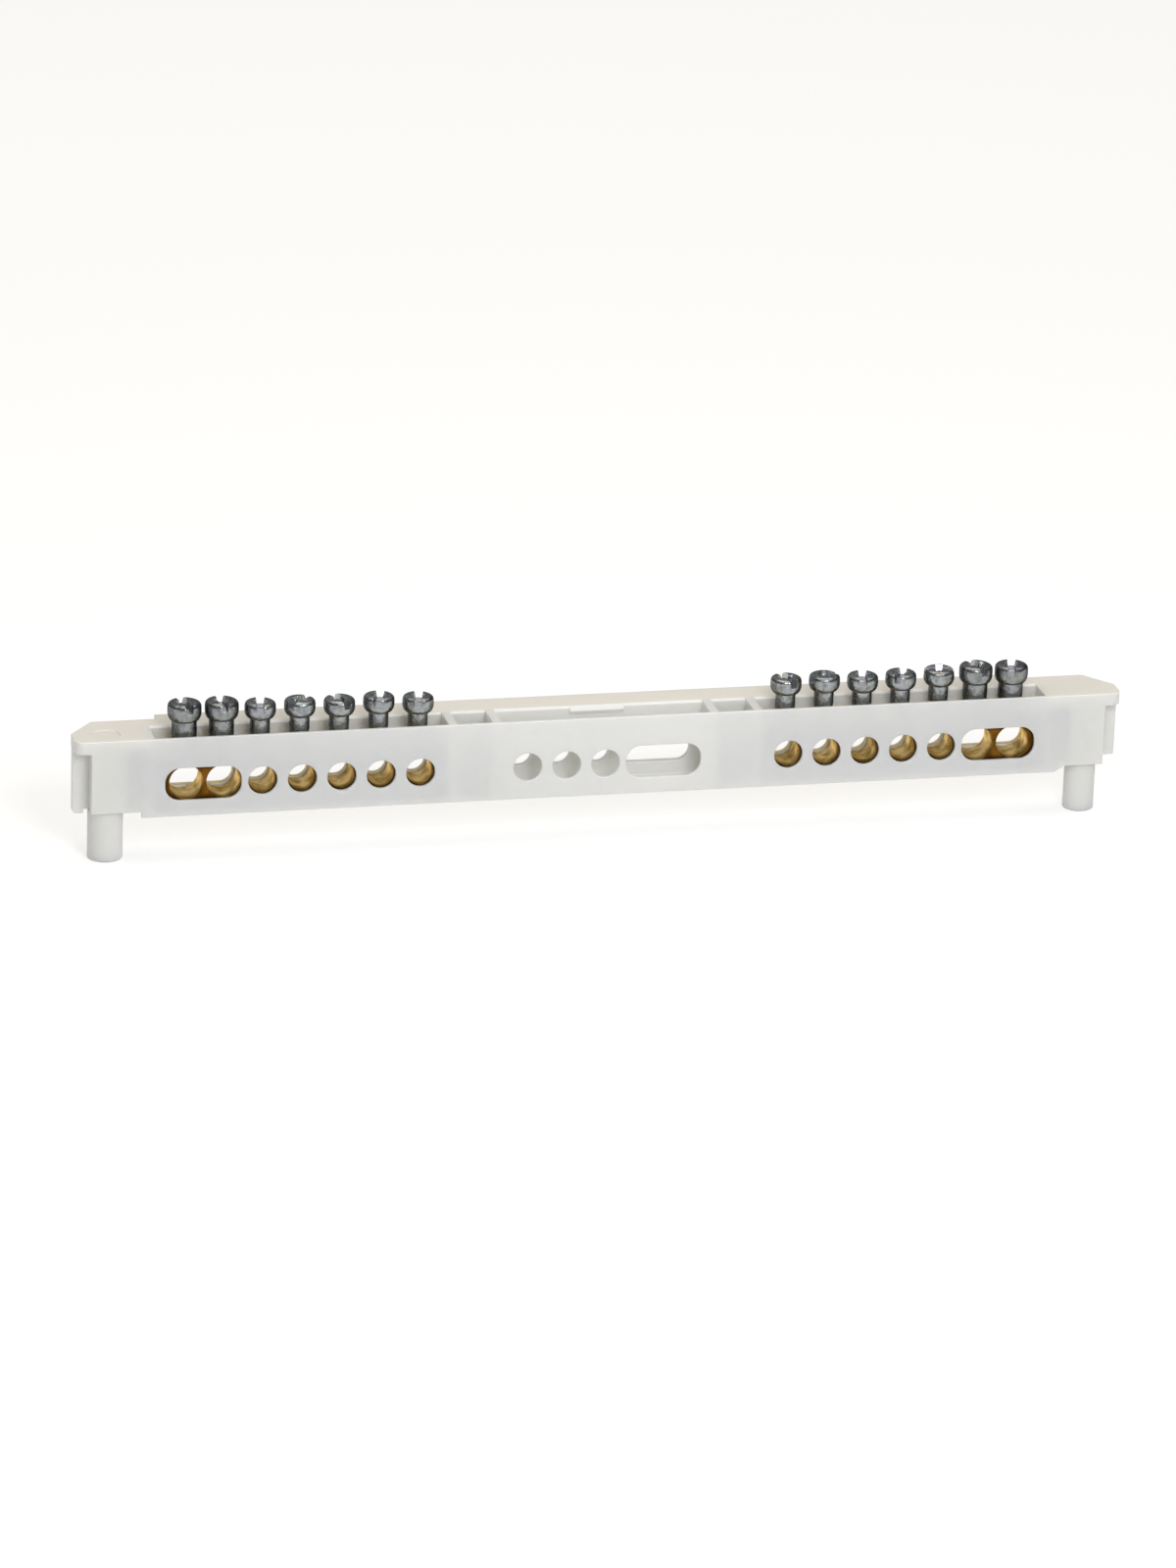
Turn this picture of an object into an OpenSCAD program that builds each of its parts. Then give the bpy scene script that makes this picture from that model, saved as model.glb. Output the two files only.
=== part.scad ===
// Earth terminal bar: a moulded carrier with two drilled brass bars and their clamp screws.
// Millimetres. X runs along the bar, -Y is the wiring side, +Z is up.
// The origin is level with the tips of the two locating pegs and midway between them.

/* [Terminal row] */
// Distance between neighbouring small terminals
pitch = 8; // [7.6:0.1:8.6]
// Distance between neighbouring large terminals
large_pitch = 7.5; // [7.2:0.1:8.4]
// Distance from the middle of the carrier to the first terminal, from which the partitions are placed
first_terminal_x = 37.9; // [36.5:0.05:40]
// Small terminals in each bar
small_count = 5; // [3:1:5]
// Large terminals in each bar
large_count = 2; // [1:1:2]
// Height of the conductor axes below the top rim
axis_drop = 9.7; // [9.2:0.1:10.2]

/* [Carrier] */
// Length over the end flanges
carrier_length = 215.2; // [212:0.1:225]
// Depth of the trough, front face to rear face
trough_depth = 9.5; // [9.3:0.1:10.5]
// Height of the trough below the top rim
trough_height = 16.4; // [15.9:0.1:18]
// Thickness of the front wall
front_wall = 0.8; // [0.7:0.05:1]
// Thickness of the floor under the bars
floor_thickness = 1; // [0.8:0.1:1.4]
// Clear width of the trough between its long walls
pocket_width = 7; // [6.95:0.05:7.3]
// Bevel along the rear inner edge of the trough
inner_bevel = 0.4; // [0.2:0.05:0.6]
// Distance from the end of the carrier to the end of the nearest pocket
pocket_end_inset = 16; // [15:0.05:17]
// Distance from the last terminal to the end of its pocket
pocket_end_margin = 6.45; // [5.5:0.05:7]
// Thickness of the wall that closes each pocket
pocket_end_wall = 1.2; // [0.8:0.1:1.6]

/* [Top band] */
// Depth of the top band along the middle of the carrier
band_depth = 14.7; // [13.5:0.1:16]
// Depth of the top band at the two ends
end_band_depth = 12.2; // [11:0.1:13]
// Thickness of the top band
band_thickness = 2.6; // [2:0.1:3]
// Distance from the end of the pocket to the step in the rear edge
band_step_inset = 2.2; // [1:0.1:4]
// Rounding of the two front corners
front_corner_radius = 2; // [1:0.1:2.4]
// Length of the rear corner bevel along the carrier
rear_bevel_x = 5; // [3:0.1:6]
// Depth of the rear corner bevel
rear_bevel_y = 6.4; // [4:0.1:7]

/* [Ends] */
// Distance from the end of the front wall to the end of the band
wall_end_inset = 3.3; // [2.5:0.1:4]
// How much shallower the two ends are than the trough
end_rise = 1.2; // [0.6:0.1:2]
// Distance from the pocket end to the step in the bottom edge
bottom_step_margin = 2.6; // [2:0.1:3]
// Length of the sloping step at the right-hand end
right_slope = 2; // [1:0.1:2.4]
// Thickness of the end walls and webs
web_thickness = 1.8; // [1.2:0.1:2]
// Thickness of the closing wall at each end
end_wall = 1; // [0.8:0.1:1.4]
// Height of the left-hand tongue below the rim
left_tongue_height = 16; // [15.5:0.1:17]
// Rounding of its lower corner
tongue_corner_radius = 0.8; // [0.3:0.1:1]
// Height of the right-hand tongue below the rim
right_tongue_height = 14.4; // [12:0.1:15]

/* [Locating pegs] */
// Diameter of the left-hand peg
left_peg_diameter = 7.1; // [6.7:0.1:7.2]
// Diameter of the right-hand peg
right_peg_diameter = 6.3; // [5.8:0.1:7]
// Length of the pegs below the ends
peg_length = 10.6; // [8:0.1:14]
// Width of the boss that carries each peg inside its end
boss_width = 7.6; // [7.5:0.1:7.8]
// Distance from the end of the band to the peg axis
peg_inset = 6.75; // [6.5:0.05:7.2]
// Rounding at the tip of the pegs
peg_tip_radius = 0.4; // [0.3:0.1:1]
// Room round the left-hand peg for the wall of its socket
socket_wall = 1; // [0.9:0.1:1.2]
// Diameter of the shallow recess above the left-hand peg
dimple_diameter = 5.8; // [3:0.1:6.4]
// Depth of that recess
dimple_depth = 0.2; // [0.1:0.05:0.5]

/* [Partitions] */
// Distance from the middle to the inner partitions
inner_rib_x = 22.4; // [22:0.1:23.5]
// Distance from the middle to the outer partitions
outer_rib_x = 31.4; // [30.5:0.1:32]
// Thickness of the partitions
rib_thickness = 1.8; // [1.2:0.1:2.2]

/* [Snap hook] */
// Width of the hook
hook_width = 11.2; // [8:0.1:14]
// Distance of the hook from the middle
hook_x = -0.4; // [-3:0.1:3]
// How far the hook reaches over the trough
hook_reach = 0.85; // [0.4:0.05:1.2]
// Height of the flat nose of the hook
hook_nose = 0.5; // [0.3:0.1:0.8]

/* [Conductor entries] */
// Diameter of the small round entries in the front wall
small_entry_diameter = 5.9; // [5.7:0.1:6.2]
// How much smaller all entries are in the rear wall, each side
rear_entry_inset = 0.4; // [0:0.05:0.6]
// Half the height of the long entries
slot_half_height = 3.4; // [3.2:0.05:3.5]
// Half the length of the long entries
slot_half_length = 7.7; // [7.6:0.05:8]
// Distance of a long entry's middle beyond that of the large terminals
large_slot_offset = 0.45; // [0:0.05:0.5]
// Rounding of the long entries' corners
slot_corner_radius = 3; // [2.4:0.1:3.1]
// Round entries in the empty middle of the carrier
middle_hole_count = 3; // [1:1:3]
// Distance from the middle of the carrier to the middle long entry
middle_slot_x = 12; // [11.5:0.1:13]

/* [Brass bars] */
// Clearance of a bar in its pocket, each side
bar_clearance = 0.1; // [0.05:0.01:0.2]
// Clearance of a bar at each end of its pocket
bar_end_clearance = 0.4; // [0.2:0.1:0.8]
// Diameter of the small conductor bores
small_bore_diameter = 5.5; // [5:0.1:5.6]
// Diameter of the large conductor bores
large_bore_diameter = 6.95; // [6.2:0.05:7]
// Small bevel along the edges of the bars
bar_bevel = 0.25; // [0.1:0.05:0.4]

/* [Clamp screws] */
// Thread diameter of the small screws
small_thread = 4; // [3.5:0.1:4.2]
// Thread diameter of the large screws
large_thread = 5; // [4.6:0.1:5.2]
// Clearance of a thread in its tapped hole, each side
thread_clearance = 0.05; // [0.02:0.01:0.08]
// Head diameter of the small screws
small_head = 6.3; // [5.8:0.1:6.5]
// Head diameter of the large screws
large_head = 6.8; // [6.4:0.05:6.9]
// Head height of the small screws
small_head_height = 3.5; // [2.6:0.1:3.7]
// Head height of the large screws
large_head_height = 3.8; // [3:0.1:4]
// Height of the small heads' undersides above the rim
small_head_lift = 1.85; // [1.5:0.05:3]
// Height of the large heads' undersides above the rim
large_head_lift = 2.3; // [1.5:0.05:3.2]
// Length of the small screws below the head
small_shank = 8.6; // [8:0.1:8.8]
// Length of the large screws below the head
large_shank = 8.4; // [8:0.1:8.6]
// Width of the driver slots at their floor
slot_width = 1.3; // [0.8:0.1:1.5]
// How much wider the driver slots are at the top, each side
slot_flare = 0.25; // [0:0.05:0.3]
// Depth of the driver slots
slot_depth = 1.7; // [1:0.1:2]
// Length of the cross recess over its arms
cross_span = 3.6; // [2.5:0.1:4]

/* [Hidden] */
SIDES = ["left", "right"];
TERMINALS = small_count + large_count;
$fn = 64;

EPS = 0.01;
CUT = 1;
OVERLAP = 0.2;
// A screw's own height beyond the common one, numbered from the left end of each bar
LEFT_BACK_OUT = [0.2, 0.2, 0.3, 0.45, 0.25, 0.5, 0];
RIGHT_BACK_OUT = [0.25, 0.4, 0, 0.15, 0.5, 0.25, 0];
// Turn of each screw, which sets where its slot points
LEFT_TURN = [100, 90, 80, 45, 111, 73, 76];
RIGHT_TURN = [106, 14, 78, 64, 166, 106, 75];

rim_z = peg_length + trough_height - end_rise;
half_length = carrier_length / 2;
wall_x = half_length - wall_end_inset;
peg_x = half_length - peg_inset;
trough_y = front_wall + pocket_width / 2;
pocket_x = half_length - pocket_end_inset;
last_terminal_x = pocket_x - pocket_end_margin;
last_small_x = last_terminal_x - (large_count - 1) * large_pitch - (pitch + large_pitch) / 2;
first_x = last_small_x - (small_count - 1) * pitch;
rib_x = [for (x = [inner_rib_x, outer_rib_x]) first_x - first_terminal_x + x];
step_x = pocket_x + bottom_step_margin;
end_height = trough_height - end_rise;
bar_x = [rib_x[1] + rib_thickness / 2 + bar_end_clearance, pocket_x - bar_end_clearance];
bar_width = pocket_width - 2 * bar_clearance;
bar_half_height = trough_height - floor_thickness - axis_drop;
large_slot_x = last_terminal_x - (large_count - 1) / 2 * large_pitch + large_slot_offset;

function is_large(i) = i >= small_count;
function terminal_x(i) = is_large(i) ? last_terminal_x - (TERMINALS - 1 - i) * large_pitch : first_x + i * pitch;
function thread_d(i) = is_large(i) ? large_thread : small_thread;
function bore_d(i) = is_large(i) ? large_bore_diameter : small_bore_diameter;

// From the rim's front edge to the part's own frame
module at_rim() translate([0, -band_depth / 2, rim_z]) children();

// Child repeated for both ends, the right one mirrored
module both_ends() for (turn = [0, 1]) mirror([turn, 0, 0]) children();

// Outline swept along X between two places; points are [y, z]
module along_x(x0, x1) translate([x0, 0, 0]) rotate([90, 0, 90]) linear_extrude(x1 - x0) children();

// Low and high end of a width about its middle
function span(middle, width) = [middle - width / 2, middle + width / 2];

// Box between [low, high] pairs
module block(x, y, z) translate([x[0], y[0], z[0]]) cube([x[1] - x[0], y[1] - y[0], z[1] - z[0]]);

// ---- carrier ----------------------------------------------------------------------

// Plan of half the top band, from the middle to one end
module half_band_plan() {
    r = front_corner_radius;
    difference() {
        polygon([[-OVERLAP, 0], [half_length, 0], [half_length, end_band_depth - rear_bevel_y],
                 [half_length - rear_bevel_x, end_band_depth], [pocket_x - band_step_inset, end_band_depth],
                 [pocket_x - band_step_inset, band_depth], [-OVERLAP, band_depth]]);
        translate([half_length - r, -CUT]) difference() {
            square([r + CUT, r + CUT]);
            translate([0, r + CUT]) circle(r);
        }
    }
}

// Front elevation of the walls below the band; the right-hand step slopes
module wall_elevation() {
    polygon([[-wall_x, -EPS], [wall_x, -EPS], [wall_x, -end_height], [step_x + right_slope, -end_height],
             [step_x, -trough_height], [-step_x, -trough_height], [-step_x, -end_height], [-wall_x, -end_height]]);
}

module elevation_slab(y0, y1) translate([0, y1, 0]) rotate([90, 0, 0]) linear_extrude(y1 - y0) children();

// Trough opening with the bevel along its rear inner edge
module trough_section() {
    z0 = floor_thickness - trough_height;
    y1 = front_wall + pocket_width;
    polygon([[front_wall, z0], [y1, z0], [y1, -inner_bevel], [y1 + inner_bevel + CUT, CUT], [front_wall, CUT]]);
}

module end_hollow() {
    x0 = pocket_x + pocket_end_wall;
    block([x0, wall_x - end_wall], [front_wall, trough_depth - end_wall], [-trough_height - CUT, -band_thickness]);
}

// Peg below the end and the square boss that carries it up to the band
module peg(diameter) {
    r = diameter / 2;
    t = peg_tip_radius;
    translate([peg_x, trough_y, -end_height - peg_length])
        rotate_extrude() {
            polygon([[0, 0], [r - t, 0], [r, t], [r, peg_length + OVERLAP], [0, peg_length + OVERLAP]]);
            intersection() {
                translate([r - t, t]) circle(t);
                square([r, t]);
            }
        }
    block([peg_x - boss_width / 2, wall_x - end_wall / 2], span(trough_y, boss_width),
          [-end_height, -band_thickness / 2]);
}

// Web on the middle plane, from the pocket end through the peg to the end tongue
module end_web(height) {
    block([pocket_x + pocket_end_wall / 2, wall_x - end_wall / 2],
          span(trough_y, web_thickness), [-end_height, -band_thickness / 2]);
    block([wall_x - end_wall / 2, half_length], span(trough_y, web_thickness),
          [-height, -band_thickness / 2]);
}

// Low end of the left-hand tongue, clear of the socket round the peg
module tongue_toe() {
    x = peg_x + left_peg_diameter / 2 + socket_wall;
    r = tongue_corner_radius;
    elevation_slab(trough_y - web_thickness / 2, trough_y + web_thickness / 2) {
        translate([x, r - left_tongue_height])
            square([half_length - x, left_tongue_height - r - band_thickness / 2]);
        translate([x, -left_tongue_height]) square([half_length - r - x, r + OVERLAP]);
        translate([half_length - r, r - left_tongue_height]) circle(r);
    }
}

// Long entry, smaller by the inset all round
module slot_outline(inset) {
    x = slot_half_length - inset;
    y = slot_half_height - inset;
    r = slot_corner_radius - inset;
    translate([r - x, -y]) square([2 * (x - r), 2 * y]);
    translate([-x, r - y]) square([2 * x, 2 * (y - r)]);
    for (i = [-1, 1]) for (j = [-1, 1]) translate([i * (x - r), j * (y - r)]) circle(r);
}

// All entries of one wall, smaller by the inset all round
module entry_outlines(inset) {
    for (side = [-1, 1]) {
        for (i = [0 : small_count - 1])
            translate([side * terminal_x(i), 0]) circle(d = small_entry_diameter - 2 * inset);
        translate([side * large_slot_x, 0]) slot_outline(inset);
    }
    for (i = [0 : middle_hole_count - 1]) translate([-i * pitch, 0]) circle(d = small_entry_diameter - 2 * inset);
    translate([middle_slot_x, 0]) slot_outline(inset);
}

module entries() translate([0, 0, -axis_drop]) {
    elevation_slab(-CUT, trough_y) entry_outlines(0);
    elevation_slab(trough_y, trough_depth + CUT) entry_outlines(rear_entry_inset);
}

// Cross walls on both sides of the middle, joined to the long walls, the floor and the bevel
module partitions() {
    y0 = front_wall - OVERLAP;
    y1 = front_wall + pocket_width + OVERLAP;
    z0 = floor_thickness - trough_height - OVERLAP;
    for (side = [-1, 1]) for (x = rib_x)
        along_x(side * x - rib_thickness / 2, side * x + rib_thickness / 2)
            polygon([[y0, z0], [y1, z0], [y1, -inner_bevel - OVERLAP],
                     [y1 + inner_bevel, -OVERLAP], [y1 + inner_bevel, 0], [y0, 0]]);
}

// Ramp and nose that hold down a bar in the middle bay
module snap_hook() {
    y1 = front_wall + pocket_width;
    along_x(hook_x - hook_width / 2, hook_x + hook_width / 2)
        polygon([[y1 + inner_bevel + OVERLAP, 0], [y1 + inner_bevel, 0], [y1 - hook_reach, -inner_bevel - hook_nose / 2],
                 [y1 - hook_reach, -inner_bevel - hook_nose], [y1, -inner_bevel - hook_nose - hook_reach],
                 [y1 + inner_bevel + OVERLAP, -inner_bevel - hook_nose - hook_reach]]);
}

module carrier() color([0.87, 0.87, 0.85]) at_rim() {
    difference() {
        union() {
            both_ends() translate([0, 0, -band_thickness]) linear_extrude(band_thickness) half_band_plan();
            elevation_slab(0, trough_depth) wall_elevation();
        }
        along_x(-pocket_x, pocket_x) trough_section();
        both_ends() end_hollow();
        entries();
        translate([-peg_x, trough_y, -dimple_depth]) cylinder(d = dimple_diameter, h = CUT);
    }
    mirror([1, 0, 0]) {
        peg(left_peg_diameter);
        end_web(end_height);
        tongue_toe();
    }
    peg(right_peg_diameter);
    end_web(right_tongue_height);
    partitions();
    snap_hook();
}

// ---- brass bars -------------------------------------------------------------------

module bar_section() {
    w = bar_width;
    h = 2 * bar_half_height;
    b = bar_bevel;
    translate([trough_y - w / 2, -axis_drop - bar_half_height])
        polygon([[b, 0], [w - b, 0], [w, b], [w, h - b], [w - b, h], [b, h], [0, h - b], [0, b]]);
}

module brass_bar() difference() {
    along_x(bar_x[0], bar_x[1]) bar_section();
    for (i = [0 : TERMINALS - 1]) translate([terminal_x(i), trough_y, -axis_drop]) {
        rotate([90, 0, 0]) cylinder(d = bore_d(i), h = bar_width + 2 * CUT, center = true);
        cylinder(d = thread_d(i) + 2 * thread_clearance, h = bar_half_height + CUT);
    }
}

module left_brass_bar() color([0.75, 0.6, 0.28]) at_rim() mirror([1, 0, 0]) brass_bar();
module right_brass_bar() color([0.75, 0.6, 0.28]) at_rim() brass_bar();

// ---- clamp screws -----------------------------------------------------------------

// Half profile of a screw: a barrel head on a plain shank with a bevelled tip
module screw_profile(d, head, height, shank) {
    r = d / 2;
    h = head / 2;
    polygon([[0, -shank], [r - 0.15 * d, -shank], [r, -shank + 0.15 * d], [r, 0], [r + 0.15, 0],
             [0.86 * h, 0.18 * height], [0.97 * h, 0.34 * height], [h, 0.48 * height], [0.985 * h, 0.68 * height],
             [0.93 * h, 0.84 * height], [0.82 * h, 0.95 * height], [0.68 * h, height], [0, height]]);
}

// Straight cut into a head from above, with sloping walls
module head_cut(height, length) translate([0, 0, height - slot_depth]) rotate([90, 0, 90])
    linear_extrude(length, center = true)
        polygon([[-slot_width / 2, 0], [slot_width / 2, 0], [slot_width / 2 + slot_flare, slot_depth],
                 [slot_width / 2 + slot_flare, slot_depth + CUT], [-slot_width / 2 - slot_flare, slot_depth + CUT],
                 [-slot_width / 2 - slot_flare, slot_depth]]);

module clamp_screw(large) {
    d = large ? large_thread : small_thread;
    head = large ? large_head : small_head;
    height = large ? large_head_height : small_head_height;
    shank = large ? large_shank : small_shank;
    difference() {
        rotate_extrude() screw_profile(d, head, height, shank);
        head_cut(height, head + CUT);
        rotate([0, 0, 90]) head_cut(height, cross_span);
    }
}

// Terminals are counted from the left end of each bar
module screw_at(side, n) {
    left = side == "left";
    i = left ? TERMINALS - n : n - 1;
    lift = (is_large(i) ? large_head_lift : small_head_lift) + (left ? LEFT_BACK_OUT : RIGHT_BACK_OUT)[n - 1];
    color([0.62, 0.65, 0.68]) at_rim()
        translate([(left ? -1 : 1) * terminal_x(i), trough_y, lift])
            rotate([0, 0, (left ? LEFT_TURN : RIGHT_TURN)[n - 1]]) clamp_screw(is_large(i));
}

carrier();
left_brass_bar();
right_brass_bar();
for (side = SIDES) for (n = [1 : TERMINALS])
    screw_at(side, n);
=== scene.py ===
"""Looks of the earth terminal bar: moulded carrier, drilled brass bars and zinc-plated clamp screws.

Metres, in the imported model's own frame: X along the bar, -Y the wiring side, +Z up.
"""
import math

import bmesh
import bpy
import numpy as np
from mathutils import Matrix, Vector


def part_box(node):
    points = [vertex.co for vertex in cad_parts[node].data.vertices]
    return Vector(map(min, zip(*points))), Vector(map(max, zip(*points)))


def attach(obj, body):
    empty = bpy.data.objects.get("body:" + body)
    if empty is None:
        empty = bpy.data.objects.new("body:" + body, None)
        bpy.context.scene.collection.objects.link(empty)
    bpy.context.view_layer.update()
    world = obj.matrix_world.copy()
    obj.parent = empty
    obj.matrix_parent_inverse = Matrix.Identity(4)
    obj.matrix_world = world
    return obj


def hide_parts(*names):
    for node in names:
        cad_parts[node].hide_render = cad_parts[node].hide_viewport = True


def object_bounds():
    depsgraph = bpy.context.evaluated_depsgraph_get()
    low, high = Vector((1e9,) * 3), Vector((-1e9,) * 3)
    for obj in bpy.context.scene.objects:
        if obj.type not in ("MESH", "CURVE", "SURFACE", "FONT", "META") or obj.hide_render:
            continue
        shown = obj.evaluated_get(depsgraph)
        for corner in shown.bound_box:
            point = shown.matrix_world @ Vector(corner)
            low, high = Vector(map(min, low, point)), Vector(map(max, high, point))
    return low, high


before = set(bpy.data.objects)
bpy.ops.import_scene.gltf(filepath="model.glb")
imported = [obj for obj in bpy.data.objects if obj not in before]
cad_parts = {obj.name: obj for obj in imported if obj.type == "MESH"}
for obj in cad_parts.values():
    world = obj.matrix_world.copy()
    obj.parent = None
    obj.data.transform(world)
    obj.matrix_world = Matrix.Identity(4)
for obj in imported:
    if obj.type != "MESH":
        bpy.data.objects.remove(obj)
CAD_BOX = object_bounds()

MM = 0.001
SIDES = ("left", "right")
TERMINALS = 7
# Both counted from the left end of each bar: which terminals are large, and each screw's turn in degrees
LARGE = {"left": (1, 2), "right": (6, 7)}
TURNS = {"left": (100, 90, 80, 45, 111, 73, 76), "right": (106, 14, 78, 64, 166, 106, 75)}


def new_object(name, data):
    """Object at the origin that shows the given data, put into the scene."""
    obj = bpy.data.objects.new(name, data)
    bpy.context.scene.collection.objects.link(obj)
    return obj


# ---- screws: surfaces of two parameters, in millimetres until they become a mesh ---

# Width and depth of the slot, and span of the cross
DRIVER = dict(slot=1.3, deep=1.7, cross=3.6)
# The shank is all that is below the head, the neck is its plain part, and the height is that of the head
SMALL_SCREW = dict(thread=4.0, pitch=0.7, head=6.3, height=3.5, shank=8.6, neck=2.6, **DRIVER)
LARGE_SCREW = dict(thread=5.0, pitch=0.8, head=6.8, height=3.8, shank=8.4, neck=3.0, **DRIVER)

ROUND_STEPS = 96
STEPS_PER_PITCH = 8
TIP_STEPS = 4
LOW_STEPS, TOP_STEPS = 14, 26

THREAD_DEPTH = 0.28
# Gain and shift of the thread's triangle wave before it is clipped, for a narrow flat root and crest
WAVE_GAIN, WAVE_SHIFT = 1.25, 0.1
# Length of the bevelled tip over the thread's diameter
TIP_BEVEL = 0.15
# How far a head stands out from its neck at once
HEAD_STEP = 0.1
# Height of a head's widest place over its whole height, and the powers of the curves below and above it
WIDEST = 0.48
LOW_POWER, TOP_POWER = 2.0, 5.0

# Size of each driver cut at its mouth over that at its floor, across the slot and along the cross
SLOT_FLARE, CROSS_FLARE = 1.4, 1.7
# Width of the cross over that of the slot, its length at the floor over its span, and its extra depth
CROSS_WIDTH, CROSS_LENGTH, CROSS_DROP = 0.8, 0.6, 0.1
# How far a cut passes a head's top, and how far out a face may lie and still count as the cut's
CUT_SLACK = 0.02
# Strength of the painted highlight on the walls of the cuts where their upward floors get 1, and how upright
# a floor's normal is at least
CUT_WALL_GLINT, FLOOR_NORMAL = 0.3, 0.7


def head_profile(size):
    """Radius and height of the barrel head, from under its rim to the middle of its top.

    Two quarter superellipses, |radius|^power + |height|^power = 1, meet at the widest place: the lower
    one runs out from the neck, and the upper, squarer one runs in to a nearly flat top.
    """
    widest, height = size["head"] / 2, size["height"]
    neck = size["thread"] / 2 + HEAD_STEP
    low = np.linspace(0, np.pi / 2, LOW_STEPS)
    low_radius = neck + (widest - neck) * np.sin(low) ** (2 / LOW_POWER)
    low_height = WIDEST * height * (1 - np.cos(low) ** (2 / LOW_POWER))
    top = np.linspace(0, np.pi / 2, TOP_STEPS)[1:]
    top_radius = widest * np.cos(top) ** (2 / TOP_POWER)
    top_height = height * (WIDEST + (1 - WIDEST) * np.sin(top) ** (2 / TOP_POWER))
    return np.concatenate([low_radius, top_radius]), np.concatenate([low_height, top_height])


def screw_grid(size):
    """Points of a screw over the way from its tip to the middle of its head and the angle round its axis.

    Radius = that of tip, shank and head, less the groove of the thread. The groove is the thread's depth
    times a clipped triangle wave of (height / pitch - angle / full turn), and fades out at the tip and at
    the plain neck.
    """
    radius, shank, pitch = size["thread"] / 2, size["shank"], size["pitch"]
    tip = TIP_BEVEL * size["thread"]
    steps = int((shank - tip) / pitch * STEPS_PER_PITCH)
    bevel = np.linspace(-shank, tip - shank, TIP_STEPS)
    straight = np.linspace(tip - shank, 0, steps)[1:-1]
    head_radius, head_height = head_profile(size)

    below = np.concatenate([[-shank], bevel, straight])
    rod = np.minimum(radius, radius - tip + (below + shank))
    profile = np.concatenate([rod, head_radius])
    profile[[0, -1]] = 0

    turn = np.linspace(0, 2 * np.pi, ROUND_STEPS, endpoint=False)
    angle, height = np.meshgrid(turn, np.concatenate([below, head_height]))
    wave = np.abs(((height / pitch - angle / (2 * np.pi)) % 1) * 2 - 1)
    groove = THREAD_DEPTH * (1 - np.clip(wave * WAVE_GAIN - WAVE_SHIFT, 0, 1))
    from_neck = np.clip((-size["neck"] - height) / pitch, 0, 1)
    from_tip = np.clip((height + shank) / tip, 0, 1)
    out = np.maximum(profile[:, None] - groove * from_neck * from_tip, 0)
    return np.stack([out * np.cos(angle), out * np.sin(angle), height], -1) * MM


def closed_lathe(name, grid):
    """Mesh from a grid whose first and last rows are single points.

    Quads join each ring to the next one, and triangles join the first and last rings to the poles.
    """
    rows, columns = grid.shape[:2]
    rings = grid[1:-1].reshape(-1, 3)
    points = np.concatenate([grid[0, :1], rings, grid[-1, :1]])
    first = np.arange(rows - 3)[:, None] * columns + 1
    here = np.arange(columns)[None, :]
    after = (here + 1) % columns
    corners = [first + here, first + after, first + columns + after, first + columns + here]
    quads = np.stack(corners, -1).reshape(-1, 4)
    last = 1 + (rows - 3) * columns
    low_pole = np.stack([np.zeros(columns, int), 1 + after[0], 1 + here[0]], -1)
    high_pole = np.stack([np.full(columns, len(points) - 1), last + here[0], last + after[0]], -1)
    mesh = bpy.data.meshes.new(name)
    mesh.from_pydata(points.tolist(), [], quads.tolist() + low_pole.tolist() + high_pole.tolist())
    mesh.update()
    return mesh


def flared_cutter(name, width, length, floor, top, flare):
    """Closed four-sided prism: a rectangle at the floor, and the same one times the flare at the top."""
    corners = np.array([(-1, -1), (1, -1), (1, 1), (-1, 1)]) * (width / 2, length / 2)
    low = np.column_stack([corners, np.full(4, floor)])
    high = np.column_stack([corners * flare, np.full(4, top)])
    sides = [(i, (i + 1) % 4, 4 + (i + 1) % 4, 4 + i) for i in range(4)]
    mesh = bpy.data.meshes.new(name)
    mesh.from_pydata((np.concatenate([low, high]) * MM).tolist(), [], [(3, 2, 1, 0), (4, 5, 6, 7)] + sides)
    return new_object(name, mesh)


def cut_away(target, tool):
    """Takes the tool's volume from the target's mesh, and deletes the tool."""
    cut = target.modifiers.new("cut", "BOOLEAN")
    cut.operation = "DIFFERENCE"
    cut.solver = "EXACT"
    cut.object = tool
    evaluated = target.evaluated_get(bpy.context.evaluated_depsgraph_get())
    whole, cut_mesh = target.data, bpy.data.meshes.new_from_object(evaluated)
    target.modifiers.remove(cut)
    target.data = cut_mesh
    bpy.data.meshes.remove(whole)
    bpy.data.objects.remove(tool)


def screw_mesh(size):
    """One screw with its head's underside at height zero: the lathe surface less its slot and its cross."""
    blank = new_object("screw_blank", closed_lathe("screw_blank", screw_grid(size)))
    floor, top = size["height"] - size["deep"], size["height"] + CUT_SLACK
    past_head = size["head"] + 2
    cut_away(blank, flared_cutter("slot_cutter", past_head, size["slot"], floor, top, (1, SLOT_FLARE)))
    cross = (size["slot"] * CROSS_WIDTH, size["cross"] * CROSS_LENGTH)
    flare = (SLOT_FLARE, CROSS_FLARE)
    cut_away(blank, flared_cutter("cross_cutter", *cross, floor - CROSS_DROP, top, flare))
    mesh = blank.data
    bpy.data.objects.remove(blank)
    mark_cut_glint(mesh, size["slot"], cross, floor, top)
    return mesh


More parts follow.
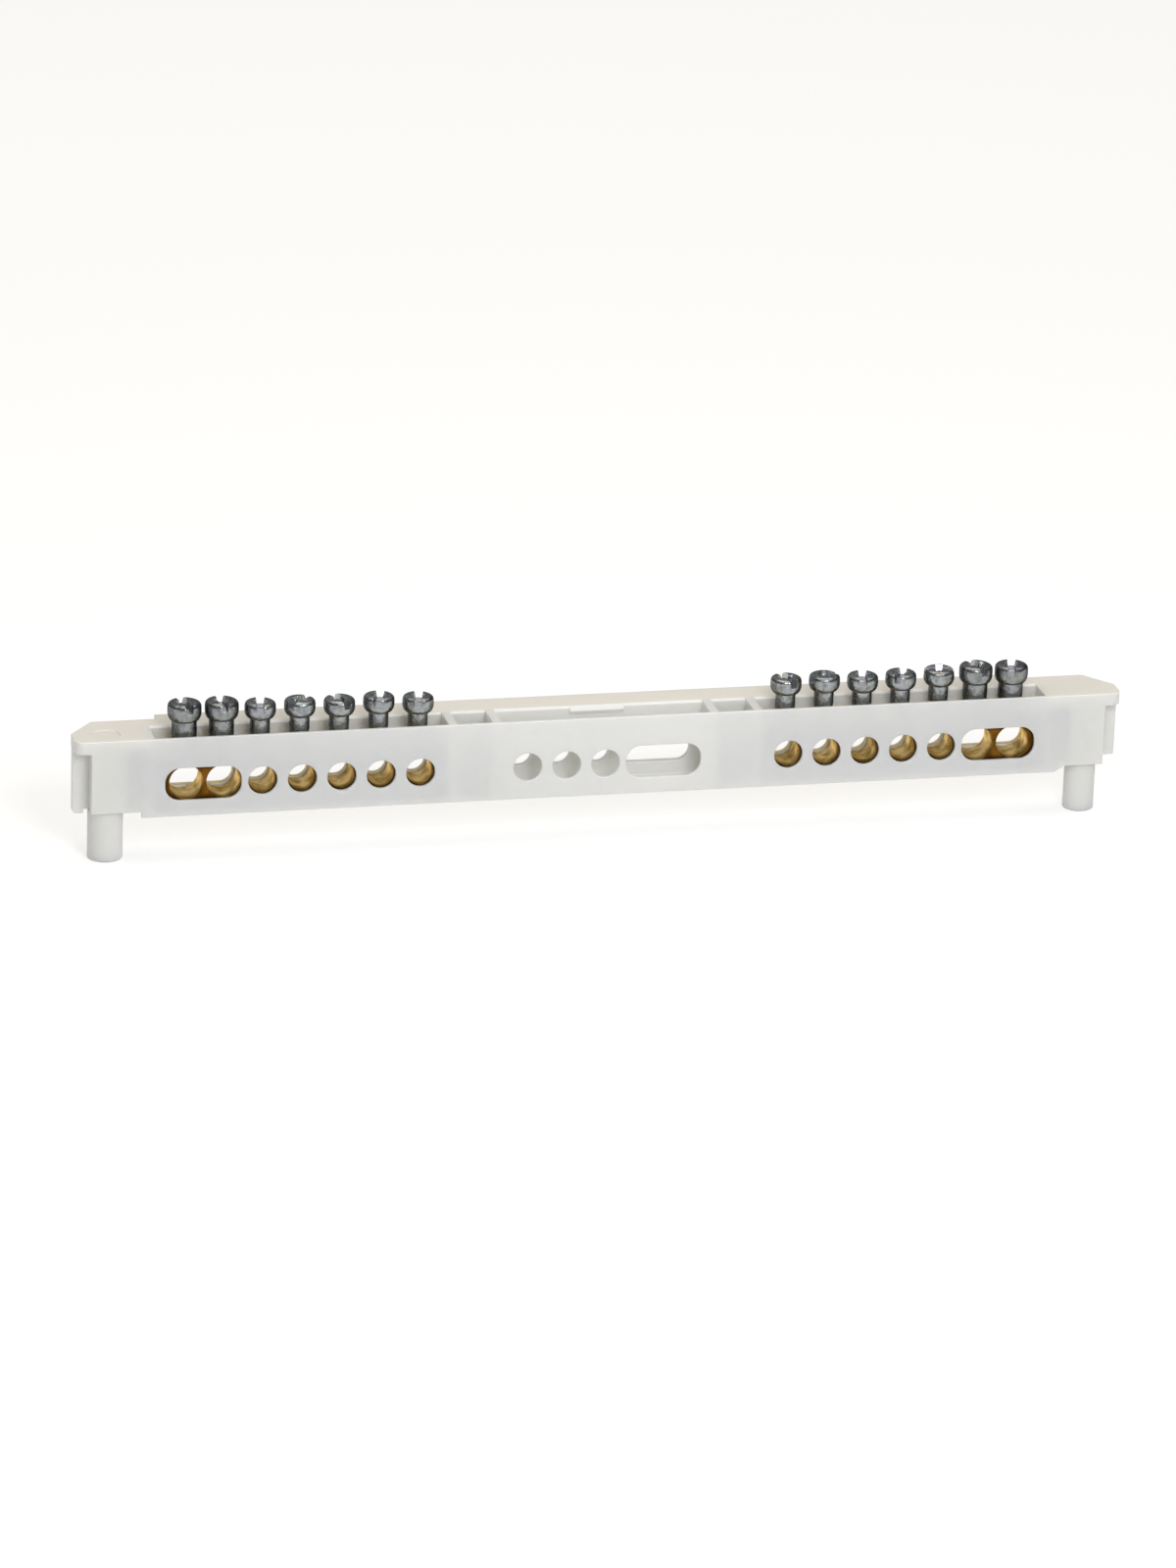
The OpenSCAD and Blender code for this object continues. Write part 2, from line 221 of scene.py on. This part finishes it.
def mark_cut_glint(mesh, slot, cross, floor, top):
    """Gives the faces of slot and cross the strength of a painted highlight in the attribute "cut", and
    every other face 0.

    A face is in a cut where its middle is above the cut's floor and no further out than the cut's wall at
    that height: half the cut's size at the floor, times 1 + (flare - 1) * (share of the way to the top).
    """
    middles, normals = np.empty((2, len(mesh.polygons) * 3), np.float32)
    mesh.polygons.foreach_get("center", middles)
    mesh.polygons.foreach_get("normal", normals)
    along, across, up = middles.reshape(-1, 3).T / MM
    way = np.clip((up - floor) / (top - floor), 0, 1)
    widened, lengthened = 1 + (SLOT_FLARE - 1) * way, 1 + (CROSS_FLARE - 1) * way
    in_slot = (np.abs(across) < slot / 2 * widened + CUT_SLACK) & (up > floor - CUT_SLACK)
    in_cross = np.abs(along) < cross[0] / 2 * widened + CUT_SLACK
    in_cross &= np.abs(across) < cross[1] / 2 * lengthened + CUT_SLACK
    in_cross &= up > floor - CROSS_DROP - CUT_SLACK
    # Painted highlight strength: full on upward floors, less on walls
    value = np.where(normals.reshape(-1, 3)[:, 2] > FLOOR_NORMAL, 1.0, CUT_WALL_GLINT)
    attribute = mesh.attributes.new("cut", "FLOAT", "FACE")
    attribute.data.foreach_set("value", (in_slot | in_cross) * value)


# ---- nodes ------------------------------------------------------------------------

def feed(tree, socket, source):
    """Joins the source to the socket, or sets it as the socket's value where it is a number or a colour."""
    if isinstance(source, (int, float, tuple)):
        socket.default_value = source
    else:
        tree.links.new(source, socket)


def node(tree, kind, links=None, **values):
    """One node: values set its properties or sockets, links joins its inputs to other nodes' outputs."""
    new = tree.nodes.new(kind)
    for key, value in values.items():
        if hasattr(new, key):
            setattr(new, key, value)
        else:
            new.inputs[key.replace("_", " ")].default_value = value
    for key, source in (links or {}).items():
        tree.links.new(source, new.inputs[key])
    return new


def math_node(tree, operation, first, second=0.0, clamp=False):
    """Output of one Math node on two numbers or sockets."""
    new = node(tree, "ShaderNodeMath", operation=operation, use_clamp=clamp)
    feed(tree, new.inputs[0], first)
    feed(tree, new.inputs[1], second)
    return new.outputs[0]


def product(tree, first, *others):
    """All the given numbers or sockets multiplied together."""
    for other in others:
        first = math_node(tree, "MULTIPLY", first, other)
    return first


def ramp(tree, value, start, end):
    """0 at the start and before, 1 at the end and past it, straight between; the end may be the lower."""
    return node(tree, "ShaderNodeMapRange", {"Value": value}, From_Min=start, From_Max=end).outputs[0]


def spread(tree, mask, low, span):
    """The low value plus the mask times the span."""
    return math_node(tree, "ADD", product(tree, mask, span), low)


def mix_colour(tree, mask, under, over):
    """The colour under where the mask is 0, the colour over where it is 1."""
    new = node(tree, "ShaderNodeMix", data_type="RGBA")
    feed(tree, new.inputs[0], mask)
    feed(tree, new.inputs[6], under)
    feed(tree, new.inputs[7], over)
    return new.outputs[2]


# ---- shader groups ----------------------------------------------------------------

MM_PER_METRE = 1000.0


def new_group(name, output, **inputs):
    """Group with a Vector input, the given inputs with their first values, and one output."""
    group = bpy.data.node_groups.new(name, "ShaderNodeTree")
    group.interface.new_socket("Vector", in_out="INPUT", socket_type="NodeSocketVector")
    for label, value in inputs.items():
        label = label.replace("_", " ")
        socket = group.interface.new_socket(label, in_out="INPUT", socket_type="NodeSocketFloat")
        socket.default_value = value
    group.interface.new_socket(output, in_out="OUTPUT", socket_type="NodeSocketFloat")
    given = group.nodes.new("NodeGroupInput").outputs
    put_out = group.nodes.new("NodeGroupOutput").inputs[output]
    return group, given, put_out


def noise(tree, vector, scale, **values):
    """Noise on the vector, with a scale from a number or a socket."""
    new = node(tree, "ShaderNodeTexNoise", {"Vector": vector}, **values)
    feed(tree, new.inputs["Scale"], scale)
    return new.outputs["Fac"]


def patches_group():
    """Mask of soft patches: noise of the given size in millimetres, stretched between two thresholds."""
    group, given, mask = new_group("soft_patches", "Mask", Size_mm=5.0, Low=0.4, High=0.6)
    scale = math_node(group, "DIVIDE", MM_PER_METRE, given["Size mm"])
    clouds = noise(group, given["Vector"], scale, Detail=4.0, Roughness=0.6)
    thresholds = {"Value": clouds, "From Min": given["Low"], "From Max": given["High"]}
    group.links.new(node(group, "ShaderNodeMapRange", thresholds).outputs[0], mask)
    return group


def grain_group():
    """Height of a fine grain: noise of the given size in millimetres, with a share of a much wider one."""
    group, given, height = new_group("fine_grain", "Height", Size_mm=0.3)
    scale = math_node(group, "DIVIDE", MM_PER_METRE, given["Size mm"])
    fine = noise(group, given["Vector"], scale, Detail=2.0)
    wide = noise(group, given["Vector"], product(group, scale, 0.13), Detail=3.0)
    group.links.new(math_node(group, "ADD", product(group, fine, 0.6), product(group, wide, 0.4)), height)
    return group


def edge_group():
    """Mask of worn outer edges: the surface's pointiness between two thresholds, broken up by noise."""
    group, given, mask = new_group("edge_wear", "Mask", Start=0.52, End=0.6)
    pointed = group.nodes.new("ShaderNodeNewGeometry").outputs["Pointiness"]
    thresholds = {"Value": pointed, "From Min": given["Start"], "From Max": given["End"]}
    edges = node(group, "ShaderNodeMapRange", thresholds).outputs[0]
    specks = noise(group, given["Vector"], 900.0, Detail=3.0)
    group.links.new(product(group, edges, math_node(group, "ADD", specks, 0.3, clamp=True)), mask)
    return group


PATCHES, GRAIN, EDGES = patches_group(), grain_group(), edge_group()


def use(tree, group, vector, **values):
    """Output of the group, placed in a material with values of its own."""
    return node(tree, "ShaderNodeGroup", {"Vector": vector}, node_tree=group, **values).outputs[0]


# ---- materials --------------------------------------------------------------------

def material(name):
    """New material with its node tree and its shader."""
    new = bpy.data.materials.new(name)
    new.use_nodes = True
    return new, new.node_tree, new.node_tree.nodes["Principled BSDF"]


def object_coordinates(tree):
    """The place on the piece, in metres."""
    return tree.nodes.new("ShaderNodeTexCoord").outputs["Object"]


def finish_shader(tree, shader, colour, roughness, height, distance, **values):
    """Joins colour, roughness and a bump of the given height to the shader, and sets its other values."""
    feed(tree, shader.inputs["Base Color"], colour)
    feed(tree, shader.inputs["Roughness"], roughness)
    relief = node(tree, "ShaderNodeBump", {"Height": height}, Strength=1.0, Distance=distance)
    feed(tree, shader.inputs["Normal"], relief.outputs[0])
    for key, value in values.items():
        shader.inputs[key.replace("_", " ")].default_value = value


def facing_and_place(tree, coordinates):
    """The three axes of the surface's normal, and those of the place on the piece."""
    normal = tree.nodes.new("ShaderNodeNewGeometry").outputs["Normal"]
    facing = node(tree, "ShaderNodeSeparateXYZ", {"Vector": normal})
    place = node(tree, "ShaderNodeSeparateXYZ", {"Vector": coordinates})
    return facing.outputs, place.outputs


# Heights between which the painted warm top light on the plastic's upward faces sets in
TOP_LIGHT_FROM, TOP_LIGHT_TO = 20 * MM, 24 * MM
# How far behind the bars the top band's full painted top light starts
BAND_START = 0.4 * MM
# Heights between which the rear entries lie
ENTRIES_FROM, ENTRIES_TO = 11 * MM, 21 * MM
# Width of the soft border of a tone
BORDER = 0.3 * MM
# Share of the painted warm top light that the partitions and the front edge get
PARTITION_TOP_LIGHT = 0.25


def carrier_plastic(bar_low, bar_high):
    """Pale plastic: painted warm top light on its upward faces, a painted highlight along its front edge,
    and a brass-yellow tint behind the bars.

    The corners are those of the right bar's box, and the left one is its mirror image.
    """
    plastic, tree, shader = material("pale_moulded_plastic")
    coordinates = object_coordinates(tree)
    facing, place = facing_and_place(tree, coordinates)
    from_middle = math_node(tree, "ABSOLUTE", place["X"])

    tone = use(tree, PATCHES, coordinates, Size_mm=22.0, Low=0.3, High=0.7)
    dust = use(tree, PATCHES, coordinates, Size_mm=3.0, Low=0.52, High=0.75)
    pale = mix_colour(tree, tone, (0.75, 0.755, 0.735, 1), (0.785, 0.785, 0.765, 1))
    dusty = mix_colour(tree, product(tree, dust, 0.10), pale, (0.60, 0.57, 0.51, 1))

    # Painted light: upward faces high on the carrier are made lighter and warmer, as if lit from above
    upward = product(tree, ramp(tree, facing["Z"], 0.5, 0.95), ramp(tree, place["Z"], TOP_LIGHT_FROM, TOP_LIGHT_TO))
    behind_pocket = ramp(tree, place["Y"], bar_high.y + BAND_START, bar_high.y + BAND_START + BORDER)
    past_pocket = ramp(tree, from_middle, bar_high.x, bar_high.x + BORDER)
    band = math_node(tree, "MAXIMUM", behind_pocket, past_pocket)
    top_light = product(tree, upward, spread(tree, band, PARTITION_TOP_LIGHT, 1 - PARTITION_TOP_LIGHT))
    top_lit = mix_colour(tree, top_light, dusty, (0.835, 0.80, 0.74, 1))

    # Painted highlight along the rounded front top edge, on faces turned up and forward
    rounded = product(tree, facing["Z"], facing["Y"], -1.0)
    rim_highlit = mix_colour(tree, ramp(tree, rounded, 0.15, 0.45), top_lit, (0.95, 0.94, 0.9, 1))

    # Brass-yellow tint on the side faces of the rear entries behind the bars
    behind_bar = ramp(tree, place["Y"], bar_high.y, bar_high.y + BORDER)
    beside_bar = product(tree, ramp(tree, from_middle, bar_low.x, bar_low.x + 1 * MM),
                         ramp(tree, from_middle, bar_high.x + BORDER, bar_high.x))
    sideways = ramp(tree, math_node(tree, "ABSOLUTE", facing["Y"]), 0.6, 0.3)
    level = product(tree, ramp(tree, place["Z"], ENTRIES_FROM, ENTRIES_FROM + 0.5 * MM),
                    ramp(tree, place["Z"], ENTRIES_TO, ENTRIES_TO - 0.5 * MM))
    brass_tinted = product(tree, behind_bar, beside_bar, sideways, level)
    colour = mix_colour(tree, brass_tinted, rim_highlit, (0.84, 0.70, 0.40, 1))

    grain = use(tree, GRAIN, coordinates, Size_mm=0.35)
    finish_shader(tree, shader, colour, spread(tree, grain, 0.36, 0.18), grain, 0.04 * MM, IOR=1.5,
                  Specular_IOR_Level=0.45, Subsurface_Weight=0.8, Subsurface_Radius=(1.0, 0.95, 0.85),
                  Subsurface_Scale=3 * MM)
    return plastic


# Depths inside the mouth of a bore at which the painted shade is full, and at which it ends
MOUTH_SHADE_FULL, MOUTH_SHADE_END = 0.4 * MM, 2.2 * MM


def bar_brass(front):
    """Brass: bright where it is drilled, brown on its sawn faces, with painted shade inside the mouth of
    each bore and on the sawn faces near the plastic.
    """
    brass, tree, shader = material("drilled_brass")
    coordinates = object_coordinates(tree)
    facing, place = facing_and_place(tree, coordinates)

    tarnish = use(tree, PATCHES, coordinates, Size_mm=2.4, Low=0.42, High=0.66)
    drilled = mix_colour(tree, tarnish, (0.90, 0.69, 0.36, 1), (0.45, 0.32, 0.12, 1))
    # Painted shade: the bores are darkened near their front, in the shade of the plastic front wall
    mouth = ramp(tree, place["Y"], front + MOUTH_SHADE_END, front + MOUTH_SHADE_FULL)
    darkened = mix_colour(tree, product(tree, mouth, 0.85), drilled, (0.08, 0.047, 0.010, 1))

    sawn = mix_colour(tree, tarnish, (0.18, 0.075, 0.009, 1), (0.11, 0.043, 0.005, 1))
    # Painted shade: ambient occlusion darkens the sawn faces near the plastic edges
    near = node(tree, "ShaderNodeAmbientOcclusion", Distance=1.0 * MM, samples=6)
    occluded = ramp(tree, near.outputs["AO"], 0.98, 0.6)
    shaded_sawn = mix_colour(tree, occluded, sawn, (0.03, 0.014, 0.003, 1))
    flat = ramp(tree, math_node(tree, "ABSOLUTE", facing["Y"]), 0.6, 0.95)
    colour = mix_colour(tree, flat, darkened, shaded_sawn)

    rings = node(tree, "ShaderNodeTexWave", {"Vector": coordinates}, wave_type="BANDS", bands_direction="Y",
                 Scale=900.0, Distortion=3.0, Detail=2.0)
    grain = use(tree, GRAIN, coordinates, Size_mm=0.25)
    height = math_node(tree, "ADD", product(tree, rings.outputs["Fac"], 0.5), grain)
    finish_shader(tree, shader, colour, spread(tree, tarnish, 0.34, 0.2), height, 0.03 * MM, Metallic=1.0,
                  Specular_Tint=(0.9, 0.72, 0.4, 1))
    return brass


def screw_zinc(name, lightness):
    """Zinc plate with specks of grime, worn outer edges, and a painted highlight in the slot and cross, full
    on their upward floors.
    """
    zinc, tree, shader = material(name)
    coordinates = object_coordinates(tree)
    blue = tuple(lightness * part for part in (0.27, 0.29, 0.325)) + (1,)
    green = tuple(lightness * part for part in (0.285, 0.295, 0.26)) + (1,)
    tint = use(tree, PATCHES, coordinates, Size_mm=2.6, Low=0.35, High=0.68)
    plated = mix_colour(tree, tint, blue, green)
    grime = use(tree, PATCHES, coordinates, Size_mm=1.3, Low=0.46, High=0.7)
    darkened = mix_colour(tree, product(tree, grime, 0.6), plated, (0.09, 0.09, 0.09, 1))
    edges = use(tree, EDGES, coordinates, Start=0.53, End=0.62)
    worn = mix_colour(tree, edges, darkened, (0.62, 0.64, 0.68, 1))
    # Painted highlight: slot and cross are made near white, most on their upward floors
    cut = node(tree, "ShaderNodeAttribute", attribute_name="cut")
    colour = mix_colour(tree, cut.outputs["Fac"], worn, (0.95, 0.96, 1.0, 1))

    grain = use(tree, GRAIN, coordinates, Size_mm=0.8)
    # The dark specular tint darkens the heads at grazing angles: painted shade along their rims
    finish_shader(tree, shader, colour, spread(tree, grime, 0.24, 0.2), grain, 0.22 * MM, Metallic=1.0,
                  Specular_Tint=(0.25, 0.25, 0.27, 1))
    return zinc


# ---- pieces -----------------------------------------------------------------------

def joined_copy(source, name):
    """Copy of a CAD node with its loose triangles joined into plain faces."""
    faces = bmesh.new()
    faces.from_mesh(source.data)
    bmesh.ops.remove_doubles(faces, verts=faces.verts, dist=0.002 * MM)
    bmesh.ops.dissolve_limit(faces, angle_limit=math.radians(0.5), verts=faces.verts, edges=faces.edges,
                             delimit={"NORMAL"})
    mesh = bpy.data.meshes.new(name)
    faces.to_mesh(mesh)
    faces.free()
    return new_object(name, mesh)


def shade_smooth(mesh, sharp_from):
    """Smooth shading with sharp edges from the given angle in degrees."""
    mesh.shade_smooth()
    mesh.set_sharp_from_angle(angle=math.radians(sharp_from))


def soften(piece, width):
    """Rounds the real edges and shades the rest smooth, with the flat faces kept flat."""
    real_edge = 30
    rounded = piece.modifiers.new("rounded_edges", "BEVEL")
    rounded.width = width
    rounded.segments = 2
    rounded.limit_method = "ANGLE"
    rounded.angle_limit = math.radians(real_edge)
    rounded.use_clamp_overlap = False
    shade_smooth(piece.data, real_edge)
    flat = piece.modifiers.new("flat_faces", "WEIGHTED_NORMAL")
    flat.weight = 100
    flat.keep_sharp = True


def dress(piece, finish, body, replaced):
    """Gives a piece its finish and its body, and puts it in the place of a CAD node."""
    piece.data.materials.clear()
    piece.data.materials.append(finish)
    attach(piece, body)
    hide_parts(replaced)


def moulded_carrier(plastic):
    """The carrier: one moulding."""
    carrier = joined_copy(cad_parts["carrier"], "moulded_carrier")
    soften(carrier, 0.12 * MM)
    dress(carrier, plastic, "base", "carrier")


def drilled_bar(side, brass):
    """The brass bar of one side."""
    bar = joined_copy(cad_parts[side + "_brass_bar"], side + "_drilled_bar")
    soften(bar, 0.06 * MM)
    dress(bar, brass, "base", side + "_brass_bar")


def clamp_screw(side, number, blank, head_height, zinc):
    """A copy of the blank at its own turn, with its head's top level with the top of its CAD node."""
    name = f"{side}_screw_{number}"
    low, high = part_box(name)
    seat = Vector(((low.x + high.x) / 2, (low.y + high.y) / 2, high.z - head_height * MM))
    mesh = blank.copy()
    turn = Matrix.Rotation(math.radians(TURNS[side][number - 1]), 4, "Z")
    mesh.transform(Matrix.Translation(seat) @ turn)
    shade_smooth(mesh, 35)
    dress(new_object(f"{side}_clamp_screw_{number}", mesh), zinc, name, name)


bar_low, bar_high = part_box("right_brass_bar")
moulded_carrier(carrier_plastic(bar_low, bar_high))

brass = bar_brass(bar_low.y)
for side in SIDES:
    drilled_bar(side, brass)

small = (screw_mesh(SMALL_SCREW), SMALL_SCREW["height"], screw_zinc("bright_zinc_plate", 1.2))
large = (screw_mesh(LARGE_SCREW), LARGE_SCREW["height"], screw_zinc("dull_zinc_plate", 0.98))
for side in SIDES:
    for number in range(1, TERMINALS + 1):
        clamp_screw(side, number, *(large if number in LARGE[side] else small))


# ---- stage ------------------------------------------------------------------------

def pale_floor():
    """Wide pale plane under the pegs: it shows white to the eye and in gloss, and keeps a soft shadow."""
    half = 6.0
    mesh = bpy.data.meshes.new("floor")
    corners = [(-half, -half, 0), (half, -half, 0), (half, half, 0), (-half, half, 0)]
    mesh.from_pydata(corners, [], [(0, 1, 2, 3)])
    pale, tree, shader = material("pale_floor")
    path = tree.nodes.new("ShaderNodeLightPath").outputs
    seen = math_node(tree, "MAXIMUM", path["Is Camera Ray"], path["Is Glossy Ray"])
    feed(tree, shader.inputs["Base Color"], (0.8, 0.8, 0.8, 1))
    feed(tree, shader.inputs["Roughness"], 0.9)
    feed(tree, shader.inputs["Specular IOR Level"], 0.0)
    feed(tree, shader.inputs["Emission Color"], (1, 1, 1, 1))
    feed(tree, shader.inputs["Emission Strength"], product(tree, seen, 0.42))
    mesh.materials.append(pale)
    new_object("floor", mesh)


def studio_world():
    """White to the eye, plain as a light; in gloss bright behind and above the bar and dim before it."""
    world = bpy.data.worlds.new("studio")
    bpy.context.scene.world = world
    world.use_nodes = True
    tree = world.node_tree
    tree.nodes.clear()
    direction = tree.nodes.new("ShaderNodeTexCoord").outputs["Generated"]
    axes = node(tree, "ShaderNodeSeparateXYZ", {"Vector": direction}).outputs
    behind = node(tree, "ShaderNodeMapRange", {"Value": axes["Y"]}, interpolation_type="SMOOTHSTEP",
                  From_Min=0.7, From_Max=1.0, To_Min=0.08, To_Max=0.8)
    above = node(tree, "ShaderNodeMapRange", {"Value": axes["Z"]}, interpolation_type="SMOOTHSTEP",
                 From_Min=0.45, From_Max=0.95, To_Min=0.0, To_Max=0.9)
    in_gloss = math_node(tree, "MAXIMUM", behind.outputs[0], above.outputs[0])
    plain = 0.5
    path = tree.nodes.new("ShaderNodeLightPath").outputs
    not_glossy = math_node(tree, "SUBTRACT", 1.0, path["Is Glossy Ray"])
    glossy = product(tree, path["Is Glossy Ray"], in_gloss)
    level = math_node(tree, "ADD", glossy, product(tree, not_glossy, plain))
    strength = math_node(tree, "MAXIMUM", level, path["Is Camera Ray"])
    white = node(tree, "ShaderNodeBackground", {"Strength": strength}, Color=(1, 1, 1, 1))
    out = tree.nodes.new("ShaderNodeOutputWorld")
    tree.links.new(white.outputs[0], out.inputs[0])


def softbox(name, centre, aim, size, power, colour):
    """Rectangular lamp at the centre, turned to face the aim."""
    lamp = bpy.data.lights.new(name, "AREA")
    lamp.shape = "RECTANGLE"
    lamp.size, lamp.size_y = size
    lamp.energy = power
    lamp.color = colour
    stand = new_object(name, lamp)
    stand.location = centre
    stand.rotation_euler = (aim - Vector(centre)).to_track_quat("-Z", "Y").to_euler()


pale_floor()
studio_world()
middle = (CAD_BOX[0] + CAD_BOX[1]) / 2
softbox("front_softbox", (0.015, -0.36, 0.24), middle, (0.2, 0.15), 0.78, (0.985, 0.99, 1.0))
softbox("overhead_softbox", (0.1, 0.25, 1.4), middle, (1.2, 0.8), 4.2, (1.0, 0.88, 0.68))


# ---- camera -----------------------------------------------------------------------

CAMERA = dict(azimuth=13.7, elevation=20.305, roll=1.96, distance=1.4753, lens=168.75)
# From the middle of the rim's front edge to the point that the camera looks at
AIM = Vector((-3.518, 0.0, -13.895)) * MM


def look_camera():
    """Camera at its distance from the aim, turned by its azimuth, elevation and roll."""
    azimuth, elevation, roll = (math.radians(CAMERA[angle]) for angle in ("azimuth", "elevation", "roll"))
    ahead = Vector((math.sin(azimuth) * math.cos(elevation), math.cos(azimuth) * math.cos(elevation),
                    -math.sin(elevation)))
    level_right = Vector((math.cos(azimuth), -math.sin(azimuth), 0))
    level_up = level_right.cross(ahead)
    right = math.cos(roll) * level_right + math.sin(roll) * level_up
    up = math.cos(roll) * level_up - math.sin(roll) * level_right
    low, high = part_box("carrier")
    rim = Vector(((low.x + high.x) / 2, low.y, high.z))

    camera = bpy.data.cameras.new("camera")
    camera.lens = CAMERA["lens"]
    camera.sensor_width = 36.0
    camera.sensor_fit = "AUTO"
    camera.clip_end = 30
    tripod = new_object("camera", camera)
    turn = Matrix((right, up, -ahead)).transposed().to_4x4()
    tripod.matrix_world = Matrix.Translation(rim + AIM - CAMERA["distance"] * ahead) @ turn
    bpy.context.scene.camera = tripod


look_camera()
bpy.context.scene.view_settings.view_transform = "Standard"
